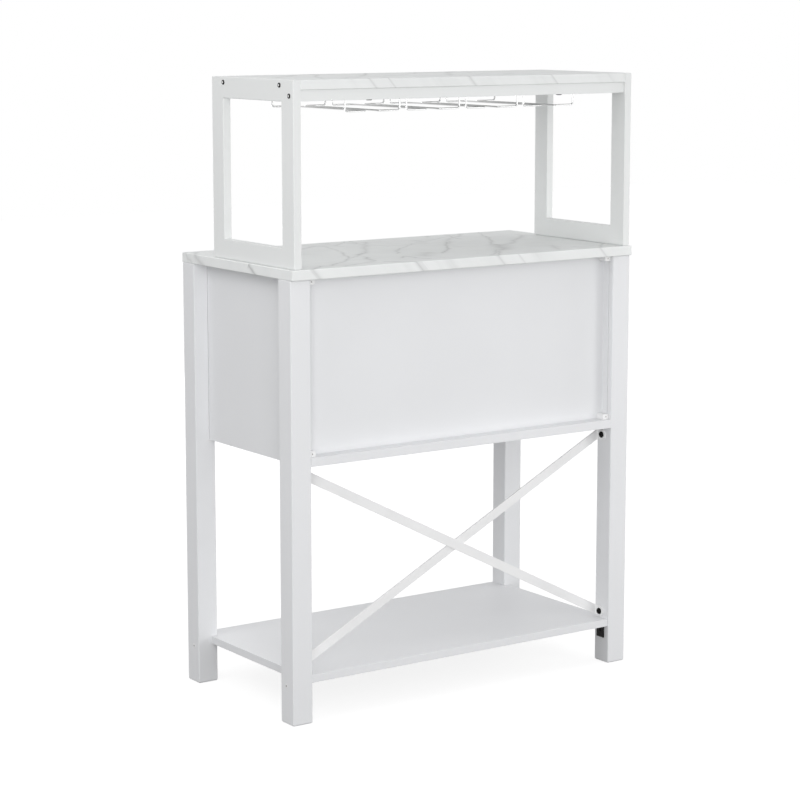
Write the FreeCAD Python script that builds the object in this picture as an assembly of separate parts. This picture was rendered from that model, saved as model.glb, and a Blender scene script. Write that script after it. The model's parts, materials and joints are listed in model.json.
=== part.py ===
import FreeCAD, Part
import math
import os

# A bar cabinet in white board with marble-patterned tops. Four square legs carry a table top, a
# closed cabinet under it, a low shelf near the floor and a crossed pair of flat bars behind. Two
# open side frames stand on the top and carry a shelf with bent wire glass rails under it.
# Millimetres. X runs along the width, the doors face -Y, +Z is up and the floor is at zero.

os.makedirs("parts", exist_ok=True)

Vector = FreeCAD.Vector

# Whole cabinet
overall_width = 750.0
overall_height = 1120.0
table_height = 800.0

# Table top
slab_depth = 375.0
slab_thickness = 18.0
slab_front_overhang = 2.0
slab_rear_overhang = 6.0
slab_edge_chamfer = 1.0

# Legs
leg_size = 40.0
leg_edge_chamfer = 1.2
leg_top_chamfer = 1.2
foot_chamfer = 2.0

# Closed cabinet between the legs
cabinet_bottom_height = 457.0
bottom_board_thickness = 16.0
side_panel_thickness = 12.0
side_panel_lap = 29.0
side_panel_end_gap = 1.5
side_panel_face_gap = 0.6
back_panel_thickness = 5.0
back_panel_recess = 27.0
panel_clip_width = 14.0
panel_clip_length = 20.0
panel_clip_height = 10.0
panel_clip_round = 4.0

# Low shelf
low_shelf_top_height = 86.0
low_shelf_thickness = 14.0
low_shelf_rear_inset = 3.0
low_shelf_notch_gap = 0.8
shelf_bracket_width = 20.0
shelf_bracket_drop = 24.0
shelf_bracket_reach = 24.0
shelf_bracket_thickness = 2.5
shelf_bracket_forward = 1.5

# Crossed bars
brace_width = 17.0
brace_thickness = 2.5
brace_leg_inset = 0.3
brace_upper_drop = 16.0
brace_lower_height = 98.0
brace_tab_inset = 15.5
brace_bend_radius = 4.0

# Upper side frames and shelf
frame_end_inset = 5.5
frame_depth = 268.0
frame_rear_inset = 2.0
frame_thickness = 15.0
frame_post_width = 38.0
frame_top_rail_height = 37.0
frame_bottom_rail_height = 35.0
frame_edge_chamfer = 0.8
frame_foot_relief_height = 1.5
frame_foot_relief_depth = 2.0
upper_shelf_thickness = 17.0
rear_rail_height = 19.0
rear_rail_depth = 17.0
rear_rail_inset = 4.0

# Bent wire glass rails
glass_rail_count = 4
glass_rail_pitch = 128.5
glass_rail_width = 114.0
glass_slot_width = 27.0
glass_rail_drop = 39.0
glass_wire_diameter = 3.0
glass_wire_sides = 6
glass_wire_bend_radius = 5.0
glass_rail_front_inset = 7.5
glass_rail_rear_gap = 3.0
glass_wire_end_gap = 0.6
rail_plate_length = 18.0
rail_plate_width = 10.0
rail_plate_thickness = 1.8
rail_weld_depth = 0.3

# Doors, knobs, hinges and catch
door_thickness = 16.0
door_gap = 2.0
door_frame_width = 46.0
door_panel_recess = 5.0
door_panel_bevel = 3.0
knob_width = 26.0
knob_neck_width = 12.0
knob_neck_length = 11.0
knob_reach = 24.0
knob_front_bevel = 4.0
knob_edge_chamfer = 1.0
hinge_height = 60.0
hinge_end_distance = 35.0
hinge_leaf_thickness = 0.9
hinge_leaf_depth = 22.0
hinge_knuckle_radius = 3.0
hinge_pin_radius = 1.5
hinge_pin_clearance = 0.05
hinge_face_clearance = 0.3
hinge_knuckle_gap = 0.3
hinge_middle_knuckle_share = 0.4
catch_width = 60.0
catch_depth = 15.0
catch_height = 14.0
catch_gap = 0.3
striker_width = 20.0
striker_height = 12.0
striker_thickness = 1.2
striker_middle_distance = 16.0

# An edge counts as running along an axis when this share of its length lies along it
parallel_share = 0.9999

# Places that follow from the sizes above. The doors' knobs stand out furthest in front and the
# table top's rear edge furthest behind, and the middle of that depth is at zero.
slab_rear_y = (slab_depth + knob_reach - slab_front_overhang) / 2
slab_front_y = slab_rear_y - slab_depth
legs_front_y = slab_front_y + slab_front_overhang
legs_rear_y = slab_rear_y - slab_rear_overhang
slab_bottom_z = table_height - slab_thickness
leg_outer_x = overall_width / 2
leg_inner_x = leg_outer_x - leg_size
panel_outer_x = leg_inner_x + side_panel_thickness
cabinet_floor_z = cabinet_bottom_height + bottom_board_thickness
back_panel_rear_y = legs_rear_y - back_panel_recess
rear_leg_front_y = legs_rear_y - leg_size
front_leg_rear_y = legs_front_y + leg_size
low_shelf_bottom_z = low_shelf_top_height - low_shelf_thickness
frame_outer_x = overall_width / 2 - frame_end_inset
frame_inner_x = frame_outer_x - frame_thickness
frame_rear_y = slab_rear_y - frame_rear_inset
frame_front_y = frame_rear_y - frame_depth
upper_shelf_bottom_z = overall_height - upper_shelf_thickness
rear_rail_rear_y = frame_rear_y - rear_rail_inset
rear_rail_front_y = rear_rail_rear_y - rear_rail_depth
rear_rail_bottom_z = upper_shelf_bottom_z - rear_rail_height
door_outer_x = leg_inner_x - door_gap
door_inner_x = door_gap / 2
door_low_z = cabinet_floor_z + door_gap
door_high_z = slab_bottom_z - door_gap
door_rear_y = legs_front_y + door_thickness
hinge_axis_x = leg_inner_x - door_gap / 2
hinge_axis_y = legs_front_y - hinge_knuckle_radius - hinge_face_clearance
brace_tab_y = rear_leg_front_y + brace_tab_inset
brace_upper_height = cabinet_bottom_height - brace_upper_drop


def block(x_range, y_range, z_range):
    low = Vector(min(x_range), min(y_range), min(z_range))
    high = Vector(max(x_range), max(y_range), max(z_range))
    size = high - low
    return Part.makeBox(size.x, size.y, size.z, low)


def rod(centre, direction, radius, length):
    return Part.makeCylinder(radius, length, centre, direction)


def edges_along(shape, axis):
    # Straight edges that run along one axis
    found = []
    for edge in shape.Edges:
        run = edge.Vertexes[-1].Point - edge.Vertexes[0].Point
        if run.Length > 0 and abs(run.dot(axis)) > run.Length * parallel_share:
            found.append(edge)
    return found


def mirrored(shape):
    return shape.mirror(Vector(0, 0, 0), Vector(1, 0, 0))


def on_side(shape, side):
    # Pieces are drawn on the +X side and mirrored for the other one
    return shape if side > 0 else mirrored(shape)


def save(name, shape):
    shape.exportStep("parts/%s.step" % name)


def marble_board(x_half, y_range, z_range):
    # A marble-patterned board with its sharp edges just broken
    slab = block((-x_half, x_half), y_range, z_range)
    return slab.makeChamfer(slab_edge_chamfer, slab.Edges)


def side_panel_ends():
    # The panel's ends lie in laps cut into the legs
    front = front_leg_rear_y - side_panel_lap + side_panel_end_gap
    rear = rear_leg_front_y + side_panel_lap - side_panel_end_gap
    return front, rear


def leg(side, end):
    # A square post, lapped on its inner corner for the side panel, with a narrow joint at its face
    y_range = (legs_front_y, front_leg_rear_y) if end < 0 else (rear_leg_front_y, legs_rear_y)
    post = block((leg_inner_x, leg_outer_x), y_range, (0, slab_bottom_z))
    post = post.makeChamfer(leg_edge_chamfer, edges_along(post, Vector(0, 0, 1)))
    foot_edges = [edge for edge in post.Edges if edge.BoundBox.ZMax < leg_edge_chamfer]
    post = post.makeChamfer(foot_chamfer, foot_edges)
    top_edges = [edge for edge in post.Edges if edge.BoundBox.ZMin > slab_bottom_z - leg_edge_chamfer]
    post = post.makeChamfer(leg_top_chamfer, top_edges)
    if end < 0:
        lap_y = (front_leg_rear_y - side_panel_lap, front_leg_rear_y)
    else:
        lap_y = (rear_leg_front_y, rear_leg_front_y + side_panel_lap)
    lap_x = (leg_inner_x, panel_outer_x + side_panel_face_gap)
    post = post.cut(block(lap_x, lap_y, (cabinet_bottom_height, slab_bottom_z)))
    return on_side(post, side)


def side_panel(side):
    panel = block((leg_inner_x, panel_outer_x), side_panel_ends(), (cabinet_bottom_height, slab_bottom_z))
    return on_side(panel, side)


def cabinet_bottom():
    z_range = (cabinet_bottom_height, cabinet_floor_z)
    return block((-leg_inner_x, leg_inner_x), (legs_front_y, legs_rear_y), z_range)


def back_panel():
    y_range = (back_panel_rear_y - back_panel_thickness, back_panel_rear_y)
    return block((-leg_inner_x, leg_inner_x), y_range, (cabinet_floor_z, slab_bottom_z))


def panel_clip(side, upper):
    # A small moulded corner block that keeps the back panel in its recess
    x_range = (leg_inner_x - panel_clip_width, leg_inner_x)
    y_range = (back_panel_rear_y, back_panel_rear_y + panel_clip_length)
    if upper:
        z_range = (slab_bottom_z - panel_clip_height, slab_bottom_z)
        open_z = slab_bottom_z - panel_clip_height
    else:
        z_range = (cabinet_floor_z, cabinet_floor_z + panel_clip_height)
        open_z = cabinet_floor_z + panel_clip_height
    clip = block(x_range, y_range, z_range)
    open_edge = []
    for edge in edges_along(clip, Vector(0, 1, 0)):
        middle = edge.CenterOfMass
        if abs(middle.x - min(x_range)) < panel_clip_round and abs(middle.z - open_z) < panel_clip_round:
            open_edge.append(edge)
    return on_side(clip.makeFillet(panel_clip_round, open_edge), side)


def low_shelf():
    # One board whose corners are cut out round the legs, with a narrow joint at the legs' faces
    z_range = (low_shelf_bottom_z, low_shelf_top_height)
    middle = block((-leg_inner_x, leg_inner_x), (legs_front_y, legs_rear_y - low_shelf_rear_inset), z_range)
    between_legs = (front_leg_rear_y + low_shelf_notch_gap, rear_leg_front_y - low_shelf_notch_gap)
    across = block((-panel_outer_x, panel_outer_x), between_legs, z_range)
    return middle.fuse(across).removeSplitter()


def shelf_bracket(side, end):
    # A folded steel angle under the low shelf, against the leg's inner face
    if end < 0:
        middle_y = legs_front_y + leg_size / 2 + shelf_bracket_forward
    else:
        middle_y = legs_rear_y - leg_size / 2 - shelf_bracket_forward
    y_range = (middle_y - shelf_bracket_width / 2, middle_y + shelf_bracket_width / 2)
    upright = block((leg_inner_x - shelf_bracket_thickness, leg_inner_x), y_range,
                    (low_shelf_bottom_z - shelf_bracket_drop, low_shelf_bottom_z))
    flat = block((leg_inner_x - shelf_bracket_reach, leg_inner_x), y_range,
                 (low_shelf_bottom_z - shelf_bracket_thickness, low_shelf_bottom_z))
    return on_side(upright.fuse(flat).removeSplitter(), side)


def brace_channel(near_y):
    # The bar's plan: a long run with both ends folded back along the legs
    end_y = brace_tab_y + brace_width
    z_range = (0, cabinet_bottom_height)
    outer = block((-leg_inner_x, leg_inner_x), (near_y, end_y), z_range)
    inner_x = leg_inner_x - brace_thickness
    inner = block((-inner_x, inner_x), (near_y + brace_thickness, end_y + brace_thickness), z_range)
    outer_corners = []
    for edge in edges_along(outer, Vector(0, 0, 1)):
        if edge.CenterOfMass.y < near_y + brace_thickness:
            outer_corners.append(edge)
    inner_corners = []
    for edge in edges_along(inner, Vector(0, 0, 1)):
        if edge.CenterOfMass.y < end_y:
            inner_corners.append(edge)
    outer = outer.makeFillet(brace_bend_radius, outer_corners)
    inner = inner.makeFillet(brace_bend_radius - brace_thickness, inner_corners)
    return outer.cut(inner)


def brace_band(left_z, right_z, y_range):
    # The slanting bar seen from behind, with its ends cut upright
    rise = left_z - right_z
    run = leg_inner_x * 2
    half = brace_width / 2 * math.hypot(run, rise) / run
    corners = [Vector(leg_inner_x, min(y_range), left_z + half),
               Vector(-leg_inner_x, min(y_range), right_z + half),
               Vector(-leg_inner_x, min(y_range), right_z - half),
               Vector(leg_inner_x, min(y_range), left_z - half)]
    outline = Part.Face(Part.makePolygon(corners + corners[:1]))
    return outline.extrude(Vector(0, max(y_range) - min(y_range), 0)), half


def crossed_brace(left_z, right_z, near_y):
    # A flat bar with rounded ends folded onto the legs
    end_y = brace_tab_y + brace_width
    band, half = brace_band(left_z, right_z, (near_y, end_y))
    bar = brace_channel(near_y).common(band)
    reach = Vector(1, 0, 0)
    keep = block((-leg_inner_x, leg_inner_x), (near_y, brace_tab_y), (0, cabinet_bottom_height))
    for x_side, height in ((1, left_z), (-1, right_z)):
        start = Vector(0, brace_tab_y, height)
        keep = keep.fuse(rod(start, reach * x_side, half, leg_inner_x))
    bar = bar.common(keep)
    return bar.removeSplitter()


def frame_foot_relief():
    # A shallow step round the frame's foot, which shows as a dark line above the table top
    z_range = (table_height, table_height + frame_foot_relief_height)
    depth = frame_foot_relief_depth
    whole = block((frame_inner_x, frame_outer_x), (frame_front_y, frame_rear_y), z_range)
    foot = block((frame_inner_x + depth, frame_outer_x - depth), (frame_front_y + depth, frame_rear_y - depth),
                 z_range)
    return whole.cut(foot)


def side_frame(side):
    # One board with a large opening cut through it
    y_range = (frame_front_y, frame_rear_y)
    frame = block((frame_inner_x, frame_outer_x), y_range, (table_height, overall_height))
    opening = block((frame_inner_x, frame_outer_x),
                    (frame_front_y + frame_post_width, frame_rear_y - frame_post_width),
                    (table_height + frame_bottom_rail_height, overall_height - frame_top_rail_height))
    frame = frame.cut(opening)
    frame = frame.makeChamfer(frame_edge_chamfer, outer_frame_edges(frame))
    frame = frame.cut(frame_foot_relief())
    return on_side(frame, side)


def outer_frame_edges(frame):
    found = []
    for edge in frame.Edges:
        if abs(edge.CenterOfMass.x - frame_outer_x) < frame_edge_chamfer:
            if edge.BoundBox.XLength < frame_edge_chamfer:
                found.append(edge)
    return found


def upper_shelf():
    return marble_board(frame_inner_x, (frame_front_y, frame_rear_y), (upper_shelf_bottom_z, overall_height))


def rear_rail():
    # The wooden rail under the shelf's rear edge
    return block((-frame_inner_x, frame_inner_x), (rear_rail_front_y, rear_rail_rear_y),
                 (rear_rail_bottom_z, upper_shelf_bottom_z))


def bent_path(points, radius):
    # Straight runs joined by tangent arcs
    edges = []
    last = points[0]
    for before, corner, after in zip(points, points[1:], points[2:]):
        back = (before - corner).normalize() * radius
        ahead = (after - corner).normalize() * radius
        centre = corner + back + ahead
        middle = centre + (corner - centre).normalize() * radius
        edges.append(Part.makeLine(last, corner + back))
        edges.append(Part.Arc(corner + back, middle, corner + ahead).toShape())
        last = corner + ahead
    edges.append(Part.makeLine(last, points[-1]))
    return Part.Wire(edges)


def glass_rail_levels():
    wire_radius = glass_wire_diameter / 2
    high_z = upper_shelf_bottom_z - rail_plate_thickness - wire_radius + rail_weld_depth
    low_z = upper_shelf_bottom_z - glass_rail_drop
    return low_z, high_z


def wire_section(centre):
    # An even-sided outline with the area of the round wire
    turn = math.pi / glass_wire_sides
    corner_radius = glass_wire_diameter / 2 * math.sqrt(turn / (math.sin(turn) * math.cos(turn)))
    corners = []
    for number in range(glass_wire_sides):
        angle = turn * (number * 2 + 1)
        corners.append(centre + Vector(0, math.cos(angle), math.sin(angle)) * corner_radius)
    return Part.Face(Part.makePolygon(corners + corners[:1]))


def glass_rail(middle_x):
    # One wire bent into a hanging loop: its two long low runs leave a slot for the glasses' stems
    low_z, high_z = glass_rail_levels()
    front_y = frame_front_y + glass_rail_front_inset
    rear_y = rear_rail_front_y - glass_rail_rear_gap
    wide = glass_rail_width / 2
    slot = glass_slot_width / 2
    end = glass_wire_end_gap / 2
    half = [(end, rear_y, high_z), (wide, rear_y, high_z), (wide, rear_y, low_z), (slot, rear_y, low_z),
            (slot, front_y, low_z), (wide, front_y, low_z), (wide, front_y, high_z)]
    points = [Vector(x, y, z) for x, y, z in half]
    points = points + [Vector(-point.x, point.y, point.z) for point in reversed(points)]
    spine = bent_path(points, glass_wire_bend_radius)
    rail = spine.makePipe(wire_section(points[0]))
    plates = []
    for plate_y in (front_y, rear_y):
        plates.append(block((-rail_plate_length / 2, rail_plate_length / 2),
                            (plate_y - rail_plate_width / 2, min(plate_y + rail_plate_width / 2, rear_rail_front_y)),
                            (upper_shelf_bottom_z - rail_plate_thickness, upper_shelf_bottom_z)))
    rail = rail.fuse(plates)
    rail.translate(Vector(middle_x, 0, 0))
    return rail


def door(side):
    # A board with a sunk field on its face
    board = block((door_inner_x, door_outer_x), (legs_front_y, door_rear_y), (door_low_z, door_high_z))
    field_x = (door_inner_x + door_frame_width, door_outer_x - door_frame_width)
    field_z = (door_low_z + door_frame_width, door_high_z - door_frame_width)
    return on_side(board.cut(door_field(field_x, field_z)), side)


def door_field(field_x, field_z):
    # The sunk field's edges slope down to it
    rings = []
    for inset, depth in ((0, 0), (door_panel_bevel, door_panel_recess)):
        y = legs_front_y + depth
        corners = [Vector(min(field_x) + inset, y, min(field_z) + inset),
                   Vector(max(field_x) - inset, y, min(field_z) + inset),
                   Vector(max(field_x) - inset, y, max(field_z) - inset),
                   Vector(min(field_x) + inset, y, max(field_z) - inset)]
        rings.append(Part.makePolygon(corners + corners[:1]))
    return Part.makeLoft(rings, True, True)


def knob(side):
    # A square knob with a bevelled front on a square neck
    middle_x = door_inner_x + door_frame_width / 2
    middle_z = (door_low_z + door_high_z) / 2
    half = knob_width / 2
    neck_half = knob_neck_width / 2
    front_y = legs_front_y - knob_reach
    head = block((middle_x - half, middle_x + half), (front_y, legs_front_y - knob_neck_length),
                 (middle_z - half, middle_z + half))
    front_edges = [edge for edge in head.Edges if edge.BoundBox.YMax < front_y + knob_edge_chamfer]
    head = head.makeChamfer(knob_front_bevel, front_edges)
    neck = block((middle_x - neck_half, middle_x + neck_half),
                 (legs_front_y - knob_neck_length - knob_edge_chamfer, legs_front_y),
                 (middle_z - neck_half, middle_z + neck_half))
    return on_side(head.fuse(neck).removeSplitter(), side)


def hinge_heights():
    lower = door_low_z + hinge_end_distance
    upper = door_high_z - hinge_end_distance - hinge_height
    return (("lower", lower), ("upper", upper))


def hinge_split():
    # Heights above the hinge's foot where the middle knuckle starts and ends
    middle = hinge_height * hinge_middle_knuckle_share
    start = (hinge_height - middle) / 2
    return start, start + middle


def knuckle(low_z, high_z, leaf_x):
    # A barrel round the hinge's axis with its link to the leaf
    barrel = axis_rod(hinge_knuckle_radius, low_z, high_z)
    link = block(leaf_x, (hinge_axis_y, legs_front_y + hinge_face_clearance), (low_z, high_z))
    return barrel.fuse(link)


def axis_rod(radius, low_z, high_z):
    return rod(Vector(hinge_axis_x, hinge_axis_y, low_z), Vector(0, 0, 1), radius, high_z - low_z)


def hinge_fixed_leaf(side, foot_z):
    # The leaf on the leg carries the pin and the outer knuckles
    leaf_x = (leg_inner_x - hinge_leaf_thickness, leg_inner_x)
    start, end = hinge_split()
    leaf = block(leaf_x, (legs_front_y + hinge_face_clearance, legs_front_y + hinge_leaf_depth),
                 (foot_z, foot_z + hinge_height))
    pieces = [knuckle(foot_z, foot_z + start, leaf_x), knuckle(foot_z + end, foot_z + hinge_height, leaf_x),
              axis_rod(hinge_pin_radius, foot_z + start, foot_z + end)]
    return on_side(leaf.fuse(pieces).removeSplitter(), side)


def hinge_moving_leaf(side, foot_z):
    # The leaf on the door's edge carries the middle knuckle, bored for the pin
    leaf_x = (door_outer_x, door_outer_x + hinge_leaf_thickness)
    start, end = hinge_split()
    low_z = foot_z + start + hinge_knuckle_gap
    high_z = foot_z + end - hinge_knuckle_gap
    leaf = block(leaf_x, (legs_front_y + hinge_face_clearance, legs_front_y + hinge_leaf_depth),
                 (foot_z, foot_z + hinge_height))
    leaf = leaf.fuse(knuckle(low_z, high_z, leaf_x)).removeSplitter()
    leaf = leaf.cut(axis_rod(hinge_pin_radius + hinge_pin_clearance, low_z, high_z))
    return on_side(leaf, side)


def double_catch():
    # The magnet block under the table top, behind both doors' upper corners
    front_y = door_rear_y + striker_thickness + catch_gap
    return block((-catch_width / 2, catch_width / 2), (front_y, front_y + catch_depth),
                 (slab_bottom_z - catch_height, slab_bottom_z))


def striker(side):
    # The steel plate on the door that meets the magnet
    x_range = (striker_middle_distance - striker_width / 2 + door_inner_x,
               striker_middle_distance + striker_width / 2 + door_inner_x)
    high_z = door_high_z - door_gap
    plate = block(x_range, (door_rear_y, door_rear_y + striker_thickness), (high_z - striker_height, high_z))
    return on_side(plate, side)


def build():
    sides = (("left", 1), ("right", -1))
    ends = (("front", -1), ("rear", 1))
    save("table_top", marble_board(overall_width / 2, (slab_front_y, slab_rear_y), (slab_bottom_z, table_height)))
    save("cabinet_bottom", cabinet_bottom())
    save("back_panel", back_panel())
    save("low_shelf", low_shelf())
    for side_name, side in sides:
        for end_name, end in ends:
            save("leg_%s_%s" % (end_name, side_name), leg(side, end))
            save("shelf_bracket_%s_%s" % (end_name, side_name), shelf_bracket(side, end))
        save("side_panel_%s" % side_name, side_panel(side))
        for level, upper in (("lower", False), ("upper", True)):
            save("panel_clip_%s_%s" % (level, side_name), panel_clip(side, upper))
        save("side_frame_%s" % side_name, side_frame(side))
        save("door_%s" % side_name, door(side))
        save("knob_%s" % side_name, knob(side))
        for level, foot_z in hinge_heights():
            save("hinge_fixed_leaf_%s_%s" % (level, side_name), hinge_fixed_leaf(side, foot_z))
            save("hinge_moving_leaf_%s_%s" % (level, side_name), hinge_moving_leaf(side, foot_z))
        save("striker_%s" % side_name, striker(side))
    front_bar_y = rear_leg_front_y + brace_leg_inset
    save("brace_rising", crossed_brace(brace_lower_height, brace_upper_height, front_bar_y))
    save("brace_falling", crossed_brace(brace_upper_height, brace_lower_height, front_bar_y + brace_thickness))
    save("upper_shelf", upper_shelf())
    save("rear_rail", rear_rail())
    for number in range(glass_rail_count):
        middle_x = (glass_rail_count - 1 - number * 2) * glass_rail_pitch / 2
        save("glass_rail_%d" % (number + 1), glass_rail(middle_x))
    save("magnetic_catch", double_catch())


build()
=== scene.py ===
import json
import math

import bmesh
import bpy
from mathutils import Matrix, Vector


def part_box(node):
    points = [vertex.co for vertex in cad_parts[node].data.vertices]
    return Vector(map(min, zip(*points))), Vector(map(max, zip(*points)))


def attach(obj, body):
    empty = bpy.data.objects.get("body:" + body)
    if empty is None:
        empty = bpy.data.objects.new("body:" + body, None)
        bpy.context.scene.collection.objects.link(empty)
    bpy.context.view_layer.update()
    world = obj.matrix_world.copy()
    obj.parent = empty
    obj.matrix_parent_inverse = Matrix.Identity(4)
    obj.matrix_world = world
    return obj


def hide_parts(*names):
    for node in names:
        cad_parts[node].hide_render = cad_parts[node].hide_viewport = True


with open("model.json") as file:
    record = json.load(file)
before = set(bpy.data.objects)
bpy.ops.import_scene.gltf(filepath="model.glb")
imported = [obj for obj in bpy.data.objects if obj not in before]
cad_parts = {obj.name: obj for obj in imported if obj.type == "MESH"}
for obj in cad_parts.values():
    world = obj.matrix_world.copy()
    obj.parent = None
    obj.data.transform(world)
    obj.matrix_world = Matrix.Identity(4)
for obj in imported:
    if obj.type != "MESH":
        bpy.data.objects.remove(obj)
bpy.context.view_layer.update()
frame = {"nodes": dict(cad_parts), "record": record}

# A white bar cabinet seen from behind, in metres. The frame's solids give every piece its place, and
# the small fasteners are set on them here.

# Camera, as the photograph was taken
camera_place = Vector((2.499, 3.570, 1.246))
camera_turn = math.radians(34.83)
camera_tilt = math.radians(8.93)
camera_lens_mm = 106.6
camera_frame_mm = 36.0
camera_shift_share = -0.03
camera_reach = 60.0

# Names of the repeated pieces, and the sign of X on each side
sides = ("left", "right")
side_signs = (("left", 1), ("right", -1))
ends = ("front", "rear")
levels = ("lower", "upper")

# Rounding of the sharp edges
leg_edge_radius = 0.0012
board_edge_radius = 0.0006
top_edge_radius = 0.0008
metal_edge_radius = 0.0003
knob_edge_radius = 0.0010
clip_edge_radius = 0.0006
no_edge_radius = 0
edge_segments = 3
edge_profile = 0.5
flat_angle = math.radians(1.0)
sharp_angle = math.radians(25.0)
merge_distance = 0.000002

# Bent wire glass rails, as in the frame
glass_rail_count = 4
wire_radius = 0.0015
wire_bend_radius = 0.005
wire_roundness = 4
bend_steps = 8
rail_width = 0.114
slot_width = 0.027
rail_drop = 0.039
rail_front_inset = 0.0075
rail_rear_gap = 0.003
wire_end_gap = 0.0006
plate_length = 0.018
plate_width = 0.010
plate_thickness = 0.0018
weld_depth = 0.0003

# Heads of screws and bolts. Each ring has its share of the radius and of the height, from the rim up.
ring_points = 48
dome_shares = ((0.97, 0.0), (1.0, 0.12), (0.99, 0.35), (0.93, 0.60), (0.80, 0.84), (0.62, 0.97),
               (0.52, 1.0))
bolt_centre_shares = ((1.0, 0.0), (1.0, 0.8), (0.8, 0.95))
deep_recess_share = 0.7
shallow_recess_share = 0.6
cross_reach_share = 0.5
cross_arm_share = 0.3

# Screws of the crossed bars
brace_screw_radius = 0.0060
brace_screw_height = 0.0032
brace_screw_socket = 0.0024
brace_tab_back = 0.0155
brace_upper_drop = 0.016
brace_lower_height = 0.098
brace_thickness = 0.0025

# Bolts through the side frames, from the frames' edges and the rail's, and under the rear rail
frame_bolt_radius = 0.0043
frame_bolt_height = 0.0016
frame_bolt_socket = 0.0022
frame_bolt_front_inset = 0.0395
frame_bolt_rear_inset = 0.0435
frame_bolt_shelf_drop = 0.0095
frame_bolt_rail_inset = 0.0090
frame_bolt_rail_drop = 0.0100
rail_bolt_radius = 0.0055
rail_bolt_height = 0.0016
rail_bolt_end_distance = 0.1465

# Screws of the brackets and the panel clips
bracket_thickness = 0.0025
bracket_screw_radius = 0.0030
bracket_screw_height = 0.0012
clip_screw_radius = 0.0014
clip_screw_height = 0.0006

# Heads of the low shelf's bolts in the legs' outer faces
leg_cap_radius = 0.0042
leg_cap_height = 0.0004
leg_cap_socket = 0.0020
leg_cap_drop = 0.0035
leg_cap_inset = 0.0225
# Height share of the dark fill in each head's socket, a painted shade for a deep socket
leg_socket_shade_share = 0.5

# Screws of the hinges' leaves
hinge_leaf_thickness = 0.0009
hinge_screw_radius = 0.0030
hinge_screw_height = 0.00008
hinge_screw_end_distance = 0.0100
hinge_screw_rear_distance = 0.0080
hinge_screw_stagger = 0.0060

# Casts, as shares of red, green and blue
neutral_cast = (1.0, 1.0, 1.0)
cool_cast = (0.990, 0.998, 1.012)
green_cast = (0.984, 1.0, 0.992)
nickel_cast = (1.0, 0.985, 0.955)

# In each finish, tone shares are the darkest and palest shares of its grey, and a relief is the
# strength and depth of its bumps. A larger scale makes finer noise.
tone_stops = (0.3, 0.7)
plain_scale = 1.0
plain_detail = 1.0
fine_detail = 2.0
usual_detail = 3.0
usual_roughness = 0.5

# Lacquered board
board_grey = 0.80
hardboard_grey = 0.785
frame_grey = 0.82
board_tone_scale = 5.0
board_tone_shares = (0.985, 1.01)
board_roughness = (0.40, 0.52)
board_specular = 0.25
grain_scale_along = 8
grain_scale_across = 900
hardboard_grain = (60, 60, 60)
grain_detail = 4.0
grain_relief = (0.25, 0.0001)
lacquer_peel_scale = 700.0
lacquer_relief = (0.15, 0.00005)

# Powder coat, metal and moulded plastic
coat_tone_scale = 12.0
coat_tone_shares = (0.97, 1.02)
coat_roughness = (0.34, 0.46)
coat_peel_scale = 1500.0
coat_peel_depth = 0.00005
metal_smear_scale = 220.0
metal_smear_detail = 4.0
metal_tone_shares = (0.94, 1.0)
plastic_mottle_scale = 90.0
plastic_tone_shares = (0.97, 1.0)
plastic_roughness = (0.3, 0.4)
plastic_texture_scale = 2500.0
plastic_relief = (0.1, 0.00003)

# Marble pattern: the ground's clouds, with the grey at each cloud level
cloud_scale = 11.0
cloud_detail = 5.0
cloud_roughness = 0.6
ground_greys = ((0.35, 0.822), (0.52, 0.847), (0.70, 0.870))
# Painted light and shade: the table's upper face is painted paler than its edges, as if more light reached
# it under the shelf, and the shelf's upper face a little darker, as if less light fell on it from above
table_top_painted_light = 1.045
shelf_top_painted_shade = 0.985
marble_roughness = (0.52, 0.62)
marble_specular = 0.06
emboss_scale = 900.0
emboss_relief = (0.08, 0.00004)

# Marble pattern: hair veins along the borders of stretched cells, present only in patches
vein_grey = 0.55
hair_turn = math.radians(-48)
hair_stretch = (5.0, 14.0, 8.0)
hair_stops = ((0.0, 0.35), (0.02, 0.18), (0.06, 0.0))
hair_patch_scale = 6.0
hair_patch_stops = ((0.46, 0.0), (0.66, 0.7))

# Marble pattern: how far the veins wander, as scale, reach and detail
coarse_wander = (16.0, 0.030, 2.0)
fine_wander = (60.0, 0.006, 1.5)
wander_roughness = 0.62
noise_middle = (0.5, 0.5, 0.5)

# Marble pattern: the lean of the veins on the board's edges, and the fading of each straight run
vein_shear = -0.9
run_fade_start = 0.48
run_fade_end = 0.60
vein_halo_width = 3.0
vein_halo_power = 2.4
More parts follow.
